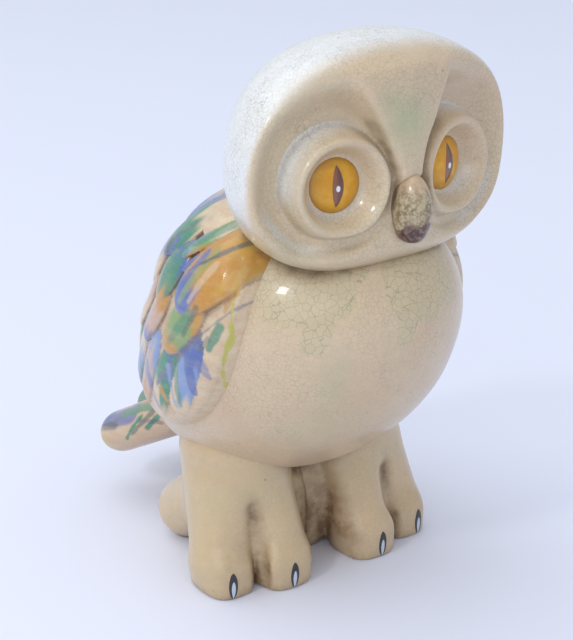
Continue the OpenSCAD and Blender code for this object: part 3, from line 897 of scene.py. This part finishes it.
def enamel_spots(name, places, facing, surface, sizes, material, nodes):
    """Enamel spots on a surface, from points in front of it and the way that they face."""
    tree = bpy.data.node_groups.get("Enamel spots") or spot_tree()
    sockets = {s.name: s.identifier for s in tree.interface.items_tree if s.in_out == "INPUT"}
    seeds = bpy.data.meshes.new(name + "_seeds")
    seeds.from_pydata([tuple(p) for p in places], [], [])
    layer = seeds.attributes.new("facing", "FLOAT_VECTOR", "POINT")
    layer.data.foreach_set("vector", np.tile(np.asarray(facing, np.float32), len(places)))
    holder = bpy.data.objects.new(name + "_seeds", seeds)
    bpy.context.scene.collection.objects.link(holder)
    modifier = holder.modifiers.new("Spots", "NODES")
    modifier.node_group = tree
    given = dict(zip(("Width", "Length", "Thickness", "Point Sharpness"), sizes))
    for label, value in {"Surface": surface, "Material": material, **given}.items():
        modifier[sockets[label]] = value
    bpy.context.view_layer.update()
    graph = bpy.context.evaluated_depsgraph_get()
    mesh = bpy.data.meshes.new_from_object(
        holder.evaluated_get(graph), preserve_all_data_layers=True, depsgraph=graph
    )
    holder.modifiers.remove(modifier)
    bpy.data.objects.remove(holder)
    mesh.name = name
    piece = add_piece(name, mesh)
    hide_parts(*nodes)
    return piece


# ---------------------------------------------------------------- paint on the wings and tail


def paint_colours():
    look = finish()
    return {
        "ground": np.array(look.cream) * (0.98, 0.95, 0.95),
        "ochre": np.array(look.ochre),
        "amber": np.array([0.56, 0.31, 0.025]),
        "cobalt": np.array(look.cobalt),
        "sky": np.array([0.17, 0.29, 0.56]),
        "sea_green": np.array(look.sea_green),
        "deep": np.array([0.015, 0.07, 0.09]),
        "leaf": np.array([0.20, 0.33, 0.12]),
        "rose": np.array([0.52, 0.35, 0.27]),
        "slate": np.array([0.12, 0.14, 0.24]),
        "lime": np.array([0.50, 0.47, 0.07]),
    }


# Brush strokes over the wing: from, to, width, colour, strength, each in its side view
WING_STROKES = (
    ((-54, 155), (-37, 138), 2.6, "slate", 0.75),
    ((-37, 138), (-8, 107), 3.6, "slate", 0.9),
    ((-30, 127), (-33, 109), 6.5, "cobalt", 0.85),
    ((-36, 127), (-42, 119), 7.0, "cobalt", 0.75),
    ((-46, 143), (-42, 133), 6.5, "sea_green", 0.9),
    ((-41, 137), (-37, 131), 4.5, "deep", 0.7),
    ((-22, 122), (-23, 101), 5.0, "sea_green", 0.75),
    ((-17, 118), (-20, 99), 3.0, "sky", 0.8),
    ((-11, 105), (-16, 95), 4.0, "ochre", 0.8),
    ((4, 112), (-6, 94), 6.0, "cobalt", 0.7),
    ((10, 122), (0, 104), 4.0, "sky", 0.7),
    ((-48, 168), (-51.5, 140), 2.0, "lime", 0.95),
    ((-51.5, 140), (-44, 110), 2.0, "lime", 0.95),
    ((-44, 110), (-30, 92), 1.8, "lime", 0.8),
    ((-49, 178), (-47, 150), 6.0, "ochre", 0.75),
    ((-36, 150), (-50, 158), 4.0, "ochre", 0.8),
    ((-8, 190), (18, 176), 5.0, "cobalt", 0.8),
    ((2, 190), (26, 168), 4.0, "sky", 0.7),
    ((-12, 182), (12, 166), 3.0, "deep", 0.35),
    ((24, 120), (10, 98), 4.5, "sea_green", 0.6),
    # A cream stroke across the big lobe: a painted highlight
    ((-32, 172), (-22, 150), 6.5, "leaf", 0.6),
    ((-37, 168), (-29, 151), 4.5, "ground", 0.55),
    ((-27, 171), (-17, 149), 5.5, "cobalt", 0.8),
    ((-44, 178), (-20, 162), 2.2, "deep", 0.75),
    ((-40, 182), (-13, 166), 3.5, "ochre", 0.8),
    ((-30, 182), (-8, 168), 4.0, "sea_green", 0.8),
    ((-9, 168), (2, 148), 8.0, "sea_green", 0.7),
    ((2, 170), (9, 150), 3.5, "cobalt", 0.8),
    ((-30, 146), (-18, 130), 7.0, "sea_green", 0.7),
    ((-34, 150), (-28, 136), 3.5, "deep", 0.55),
    ((34, 118), (22, 98), 4.0, "cobalt", 0.6),
)


def stroke_place(a, b, start, end):
    """How far along a stroke points lie, from 0 to 1, and how far from its line."""
    (a0, b0), (a1, b1) = start, end
    da, db = a1 - a0, b1 - b0
    t = np.clip(((a - a0) * da + (b - b0) * db) / (da * da + db * db), 0, 1)
    return t, np.hypot(a - a0 - t * da, b - b0 - t * db)


def brushed(colour, cover, y, z, strokes, palette, swap):
    """Lay brush strokes over a painted colour and its cover."""
    sway = 0.9 * np.sin(0.35 * y + 0.25 * z) + 0.5 * np.sin(0.8 * z - 0.3 * y)
    for start, end, width, name, strength in strokes:
        t, away = stroke_place(y, z, start, end)
        half = width / 2 * (1 - 0.45 * t**2)
        share = strength * (1 - soft_step(0.62, 1.12, (away + 0.4 * sway) / half))
        colour += (palette[swap.get(name, name)] - colour) * share[:, None]
        cover[:] = np.maximum(cover, share)
    return colour, cover


def wing_paint(points, share, swap):
    """Colour and cover of the paint on a wing, from its points on the positive side."""
    palette = paint_colours()
    y, z = points[:, 1], points[:, 2]
    heights = feather_heights(y, z, max(share, 0.2))
    top = heights.argmax(0)
    ordered = np.sort(heights, 0)
    gap = ordered[-1] - ordered[-2]
    colour = np.tile(palette["ground"], (len(points), 1))
    cover = np.zeros(len(points))
    line = np.zeros(len(points))
    for i, f in enumerate(FEATHERS):
        along, across, edge = feather_place(f, y, z)
        mine = (top == i) & (heights[i] > 0.05)
        names = [swap.get(n, n) for n in f[5:8]]
        streaks = 0.09 * np.sin(4.2 * across + 1.7 * i) + 0.05 * np.sin(9.5 * across + 0.9 * i)
        t = np.clip(along + streaks + 0.12 * across, 0, 1)
        first, second = soft_step(0.16, 0.40, t), soft_step(0.58, 0.84, t)
        parts = ((1 - first) * (1 - second), first * (1 - second), second)
        shade = sum(part[:, None] * palette[n] for part, n in zip(parts, names))
        covering = 1 - sum(part * (n == "ground") for part, n in zip(parts, names))
        edge_share = soft_step(0.86, 1.0, edge)
        colour[mine] = shade[mine]
        cover[mine] = np.clip(covering[mine], 0, 1) * (0.95 - 0.25 * edge_share[mine])
        line[mine] = np.maximum(line[mine], edge_share[mine] * (0.75 if f[3] > 0.7 else 0.3))
    crease = line * (1 - soft_step(0.0, 1.4, gap) * 0.35) * 0.85
    ink = between(palette["deep"], palette["slate"], 0.3)
    colour += (ink - colour) * crease[:, None]
    cover = np.maximum(cover, crease)
    return brushed(colour, cover, y, z, WING_STROKES, palette, swap)


TAIL_STROKES = (
    ((104, 46), (128, 38), 16, "sea_green", 0.9),
    ((80, 60), (98, 52), 13, "ochre", 0.85),
    ((82, 50), (108, 38), 11, "cobalt", 0.85),
    ((66, 60), (90, 48), 6, "sea_green", 0.85),
    ((92, 42), (110, 34), 5, "deep", 0.7),
    ((58, 60), (70, 46), 3.4, "sea_green", 0.95),
    ((64, 60), (80, 40), 3.6, "deep", 0.8),
    ((74, 52), (84, 36), 3.4, "sea_green", 0.95),
    ((60, 52), (74, 50), 3.0, "deep", 0.7),
    ((100, 31), (110, 27), 9, "lime", 0.7),
)


# ---------------------------------------------------------------- pieces


def shape():
    return bpy.context.scene.owl_shape


def step_of(value):
    return value / MM * 1.0


def spot(a, b, middle, reach):
    """1 in the middle of a soft oval spot, and 0 far from it."""
    return np.exp(-(((a - middle[0]) / reach[0]) ** 2 + ((b - middle[1]) / reach[1]) ** 2))


def crease_dirt_and_shade(points, normals, sharpness, broad):
    """Painted shade and dirt in narrow creases, and a share of it in broad ones."""
    return np.maximum(hollow(points, normals, 5.0) ** sharpness, broad * hollow(points, normals, 12.0) ** 2)


class OWL_OT_head(bpy.types.Operator):
    """Make the head with its sunken facial discs and brow"""

    bl_idname = "owl.head"
    bl_label = "Head"

    def execute(self, context):
        look = finish()
        softness = shape().rim_softness / MM
        points, quads = net_over(
            lambda p: head_field(p, softness), (-84, -106, 152), (84, 4, 274), step_of(shape().fineness)
        )
        normals = outward(head_field, points)
        x, y, z = into_head(points).T
        forehead = spot(x, z, (-3, 234), (11, 11)) * (y < -55)
        # The dome turns whiter where its faces turn up toward the light: partly whiter glaze, partly painted
        # top light
        upward = 0.9 * normals[:, 2] + 0.5 * normals[:, 1] + 0.35 * np.abs(normals[:, 0])
        values = {
            # hollow: painted shade and dirt in the troughs of the face and its creases
            "hollow": crease_dirt_and_shade(points, normals, 1.6, 0.8),
            "thick": np.zeros(len(points)),
            "pooled": 0.55 * spot(x, z, (-60, 176), (16, 22)),
            "stain": forehead + 0.5 * spot(x, z, (-12, 243), (5, 4)) * (y < -50),
            "dome": soft_step(-73, -60, y) * soft_step(-0.25, 0.45, upward),
        }
        second = between(look.cream, look.blush, 0.55)
        glaze = plain_glaze("Head glaze", look.cream, second, 0.66, 0.22, 0.5, 0.5, 0.5, look.white)
        piece = make_piece("head", points, quads, glaze, values)
        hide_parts("head_shell", "right_facial_disc", "left_facial_disc", "brow_wedge")
        return {"FINISHED"}


class OWL_OT_beak(bpy.types.Operator):
    """Make the beak between the facial discs"""

    bl_idname = "owl.beak"
    bl_label = "Beak"

    def execute(self, context):
        points, quads = net_over(beak_field, (-16, -104, 174), (18, -66, 216), step_of(0.6 * MM))
        normals = outward(beak_field, points)
        height = points[:, 2]
        values = {
            # hollow: painted shade and dirt at the root of the beak
            "hollow": hollow(points, normals, 3.5),
            "tip": 1 - soft_step(181, 197, height - 0.25 * points[:, 0]),
            "crown": soft_step(199, 209, height),
        }
        piece = make_piece("beak_piece", points, quads, kept("Beak glaze", beak_glaze), values)
        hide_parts("beak")
        return {"FINISHED"}


def eye_dome():
    """Points of the left eye across, up and out, its faces, and how near the rim each point lies."""
    rings, sides = 26, 96
    ring, turn = np.arange(1, rings + 1) / rings, 2 * np.pi * np.arange(sides) / sides
    r, a = np.meshgrid(1.04 * IRIS_R * ring, turn, indexing="ij")
    base = SOCKET_H - math.sqrt(DOME_R**2 - IRIS_R**2)
    dome = np.stack([r * np.cos(a), r * np.sin(a), base + np.sqrt(DOME_R**2 - r * r)], -1).reshape(-1, 3)
    points = np.concatenate([[(0, 0, base + DOME_R)], dome, [(0, 0, SOCKET_H - 2.5)]])
    rim = np.concatenate([[0.0], r.ravel() / IRIS_R, [1.0]])
    here = np.arange(sides)
    beside = (here + 1) % sides
    faces = [(0 * here, 1 + here, 1 + beside)]
    for i in range(rings - 1):
        near, far = 1 + i * sides, 1 + (i + 1) * sides
        faces += [(near + here, far + here, far + beside), (near + here, far + beside, near + beside)]
    faces.append((0 * here + len(points) - 1, far + beside, far + here))
    return points, np.concatenate([np.stack(f, 1) for f in faces]), rim


class OWL_OT_eyes(bpy.types.Operator):
    """Make both domed eyes with their pupils and catchlights"""

    bl_idname = "owl.eyes"
    bl_label = "Eyes"

    def execute(self, context):
        across, out = disc_axes()
        dome, dome_faces, rim = eye_dome()
        placed = EYE + dome @ np.stack([across, (0, 0, 1), out])
        pupil_size = (shape().pupil_width, shape().pupil_length, 0.10 * MM, 0.85)
        glint_size = (1.9 * MM, 2.7 * MM, 0.10 * MM, 0.5)
        glint_drop = np.array([0, 0, 0.7 * MM])
        for side, name in SIDES:
            points, faces = on_side(placed, dome_faces, side)
            amber = kept("Iris enamel", iris_enamel)
            iris = make_piece(f"{name}_iris", out_of_head(points), faces, amber, {"rim": rim})
            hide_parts(f"{name}_eyeball")
            flip = np.array([side, 1, 1])
            facing = HEAD @ (out * flip)
            front = to_frame(out_of_head(EYE * flip) + facing * 12)
            pupil = enamel_spots(
                f"{name}_slit", [front], facing, iris, pupil_size,
                kept("Pupil enamel", pupil_enamel), [f"{name}_pupil"],
            )
            enamel_spots(
                f"{name}_glint", [front - glint_drop], facing, pupil, glint_size,
                kept("White enamel", white_enamel), [f"{name}_catchlight"],
            )
        return {"FINISHED"}


# Runs of thick glaze below the face: from, to and half width, each in its front view
DRIPS = (
    ((-31, 180), (-36, 160), 11.5), ((-36, 160), (-42, 139), 5.0),
    ((-47, 176), (-50, 152), 6.5), ((-18, 182), (-22, 172), 8.0),
    ((8, 182), (4, 158), 15.0), ((24, 180), (28, 154), 9.0),
    ((0, 158), (-3, 139), 5.0), ((14, 158), (12, 150), 8.0),
)


def drips(points):
    """Where the glaze ran thick below the face: broad at the top, with tongues that end round."""
    x, y, z = points.T
    best = np.full(len(points), -9.0)
    for start, end, half in DRIPS:
        away = stroke_place(x, z, start, end)[1]
        best = np.maximum(best, (half - away) / 6 + 0.5)
    return np.clip(np.where(y < -20, best, 0), 0, 1)


class OWL_OT_body(bpy.types.Operator):
    """Make the egg-shaped body with the glaze that ran down its chest"""

    bl_idname = "owl.body"
    bl_label = "Body"

    def execute(self, context):
        look = finish()
        points, quads = net_over(body_field, (-78, -100, 40), (78, 90, 194), step_of(shape().fineness * 1.1))
        normals = outward(body_field, points)
        x, y, z = points.T
        values = {
            # hollow: painted shade and dirt where the head, wings and legs meet the body
            "hollow": crease_dirt_and_shade(points, normals, 1.5, 0.7),
            "thick": drips(points),
            "pooled": 0.55 * spot(x, z, (-30, 92), (26, 24)) * (y < 0),
            "stain": 0.5 * spot(x, z, (-33, 121), (7, 12)) * (y < 0),
        }
        second = between(look.cream, look.blush, 0.4)
        glaze = plain_glaze("Chest glaze", look.blush, second, 0.60, 0.08, 0.65, 0.25, 0.45)
        piece = make_piece("body", points, quads, glaze, values)
        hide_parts("body_shell")
        return {"FINISHED"}


class OWL_OT_wings(bpy.types.Operator):
    """Make both wings with their modelled and painted feathers"""

    bl_idname = "owl.wings"
    bl_label = "Wings"

    def execute(self, context):
        thickness, share = shape().wing_thickness / MM, shape().feather_relief

        def field(p):
            return wing_field(p, thickness, share)

        points, quads = net_over(field, (16, -66, 78), (88, 52, 206), step_of(shape().wing_fineness))
        y, z = points[:, 1], points[:, 2]
        # Painted shade and dirt: darker where a feather lies lower than those round it and in creases at the
        # wing's edges
        ring = 2.2 * np.stack([np.cos(np.arange(8) * np.pi / 4), np.sin(np.arange(8) * np.pi / 4)], 1)
        around_it = sum(feather_heights(y + dy, z + dz, share).max(0) for dy, dz in ring) / 8
        drop = np.clip(around_it - feather_heights(y, z, share).max(0), 0, 2)
        between_feathers = drop * (wing_edge(y, z) < -4)
        at_edge = hollow(points, outward(field, points), 4.0) ** 1.4
        creases = np.clip(0.6 * at_edge + 0.45 * between_feathers, 0, 1)
        other = {"cobalt": "sea_green", "sea_green": "cobalt", "rose": "leaf"}
        for (side, name), swap in zip(SIDES, ({}, other)):
            paint, cover = wing_paint(points, share, swap)
            placed, faces = on_side(points, quads, side)
            piece = make_piece(
                f"{name}_painted_wing", placed, faces, kept("Painted glaze", painted_glaze),
                {"hollow": creases, "cover": cover}, paint,
            )
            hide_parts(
                f"{name}_wing", f"{name}_scapulars", f"{name}_coverts", f"{name}_flight_feathers"
            )
        return {"FINISHED"}


class OWL_OT_tail(bpy.types.Operator):
    """Make the three thick lobes of the tail"""

    bl_idname = "owl.tail"
    bl_label = "Tail"

    def execute(self, context):
        points, quads = net_over(tail_field, (-58, 28, 14), (58, 136, 82), step_of(shape().wing_fineness))
        palette = paint_colours()
        ground = np.tile(palette["ground"] * (0.86, 0.72, 0.70), (len(points), 1))
        cover = np.full(len(points), 0.45)
        paint, cover = brushed(ground, cover, points[:, 1], points[:, 2], TAIL_STROKES, palette, {})
        # Painted shade and dirt in the creases between the lobes
        creases = hollow(points, outward(tail_field, points), 4.0) ** 1.4
        piece = make_piece(
            "tail", points, quads, kept("Painted glaze", painted_glaze),
            {"hollow": creases, "cover": cover}, paint,
        )
        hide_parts("tail_feather_right", "tail_feather_middle", "tail_feather_left")
        return {"FINISHED"}


def foot_dirt_and_shade(points, normals):
    """Painted shade and brown dirt between the toes, between the legs and in the creases, and darker toward the
    ground.
    """
    x, y, z = points.T
    toes = 0.75 * spot(x, z, (TOE_GAP, 36), (3.2, 8)) * (y < -18)
    legs = 0.8 * (1 - soft_step(8, 19, x)) * np.exp(-(((z - 22) / 18) ** 2)) * (y < 10)
    own = np.clip(1 - foot_field(points + normals * 7) / 7, 0, 1)
    narrow = np.maximum(hollow(points, normals, 6.0), own)
    creases = np.maximum(narrow, 0.85 * hollow(points, normals, 15.0)) ** 1.3
    return np.clip(toes + legs + creases + 0.30 * (1 - soft_step(0, 7, z)), 0, 1)


class OWL_OT_feet(bpy.types.Operator):
    """Make both legs with their toes, and paint the claws on the front toes"""

    bl_idname = "owl.feet"
    bl_label = "Feet"

    def execute(self, context):
        look = finish()
        softness = shape().toe_softness / MM
        points, quads = net_over(
            lambda p: foot_field(p, softness), (-3, -52, -3), (76, 58, 92), step_of(shape().fineness)
        )
        values = {
            # hollow: painted shade and dirt on the legs and toes
            "hollow": foot_dirt_and_shade(points, outward(foot_field, points)),
            "thick": np.zeros(len(points)),
            "pooled": 0.35 * np.exp(-((points[:, 2] - 46) / 12) ** 2),
        }
        second = between(look.buff, look.blush, 0.4)
        glaze = plain_glaze("Foot glaze", look.buff, second, 0.40, 0.10, 1.0, 0.6)
        claw_size = (shape().claw_width, shape().claw_length, 0.30 * MM, 0.62)
        for side, name in SIDES:
            placed, faces = on_side(points, quads, side)
            foot = make_piece(f"{name}_foot", placed, faces, glaze, values)
            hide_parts(f"{name}_leg", f"{name}_outer_toe", f"{name}_inner_toe", f"{name}_hind_toe")
            places = [to_frame((side * 57, -60, 7.4)), to_frame((side * 27, -70, 7.4))]
            enamel_spots(
                f"{name}_claws", places, (0, -1, 0), foot, claw_size,
                kept("Claw enamel", claw_enamel), [f"{name}_outer_claw", f"{name}_inner_claw"],
            )
        return {"FINISHED"}


class OWL_OT_studio(bpy.types.Operator):
    """Lay the pale floor and set the camera and the soft lights"""

    bl_idname = "owl.studio"
    bl_label = "Studio"

    def execute(self, context):
        scene = context.scene
        setup = scene.owl_studio
        mesh = bpy.data.meshes.new("floor")
        mesh.from_pydata([(-5, -5, 0), (5, -5, 0), (5, 7, 0), (-5, 7, 0)], [], [(0, 1, 2, 3)])
        floor = bpy.data.objects.new("floor", mesh)
        mesh.materials.append(floor_paper())
        scene.collection.objects.link(floor)

        world = bpy.data.worlds.new("Soft room")
        world.use_nodes = True
        sky = world.node_tree.nodes["Background"]
        sky.inputs["Color"].default_value = (0.87, 0.92, 1.0, 1)
        sky.inputs["Strength"].default_value = setup.ambient
        scene.world = world

        aim = Vector((0, 0, setup.aim_height))
        for name, place, size, power, colour in (
            ("overhead", (-0.9, 1.0, 2.9), 3.2, setup.overhead, (1.0, 0.99, 0.98)),
            ("front", (-1.3, -1.1, 0.95), 1.1, setup.front, (1.0, 0.98, 0.95)),
            ("lamp", (-1.35, -0.35, 1.25), 0.22, setup.lamp, (1.0, 1.0, 1.0)),
        ):
            light = bpy.data.lights.new(name, "AREA")
            light.shape = "SQUARE"
            light.size = size
            light.energy = power
            light.color = colour
            holder = bpy.data.objects.new(name, light)
            holder.location = place
            holder.rotation_euler = (aim - Vector(place)).to_track_quat("-Z", "Y").to_euler()
            scene.collection.objects.link(holder)

        a, e = setup.azimuth, setup.elevation
        way = Vector((math.sin(a) * math.cos(e), -math.cos(a) * math.cos(e), math.sin(e)))
        target = Vector((0, -SET_BACK * MM, setup.aim_height))
        camera = bpy.data.cameras.new("camera")
        camera.lens = setup.lens
        camera.sensor_width = 36
        camera.clip_start = 0.02
        camera.clip_end = 50
        holder = bpy.data.objects.new("camera", camera)
        holder.location = target + way * setup.distance
        holder.rotation_euler = (-way).to_track_quat("-Z", "Y").to_euler()
        scene.collection.objects.link(holder)
        scene.camera = holder
        scene.view_settings.view_transform = "Standard"
        return {"FINISHED"}


OPERATORS = (
    OWL_OT_studio, OWL_OT_head, OWL_OT_beak, OWL_OT_eyes, OWL_OT_body, OWL_OT_wings, OWL_OT_tail, OWL_OT_feet,
)


class OWL_PT_sidebar(bpy.types.Panel):
    """Sizes, colours and pieces of the owl"""

    bl_idname = "OWL_PT_sidebar"
    bl_label = "Glazed owl"
    bl_space_type = "VIEW_3D"
    bl_region_type = "UI"
    bl_category = "Owl"

    def draw(self, context):
        for group in (context.scene.owl_shape, context.scene.owl_finish, context.scene.owl_studio):
            box = self.layout.box()
            for key in group.bl_rna.properties.keys():
                if key not in {"rna_type", "name"}:
                    box.prop(group, key)
        for operator in OPERATORS:
            self.layout.operator(operator.bl_idname)


CLASSES = (OwlShape, OwlFinish, OwlStudio, *OPERATORS, OWL_PT_sidebar)


def register():
    for item in CLASSES:
        bpy.utils.register_class(item)
    bpy.types.Scene.owl_shape = PointerProperty(type=OwlShape)
    bpy.types.Scene.owl_finish = PointerProperty(type=OwlFinish)
    bpy.types.Scene.owl_studio = PointerProperty(type=OwlStudio)


def unregister():
    del bpy.types.Scene.owl_studio
    del bpy.types.Scene.owl_finish
    del bpy.types.Scene.owl_shape
    for item in reversed(CLASSES):
        bpy.utils.unregister_class(item)


def main():
    register()
    for operator in OPERATORS:
        getattr(bpy.ops.owl, operator.bl_idname.split(".")[1])()


if __name__ == "__main__":
    main()
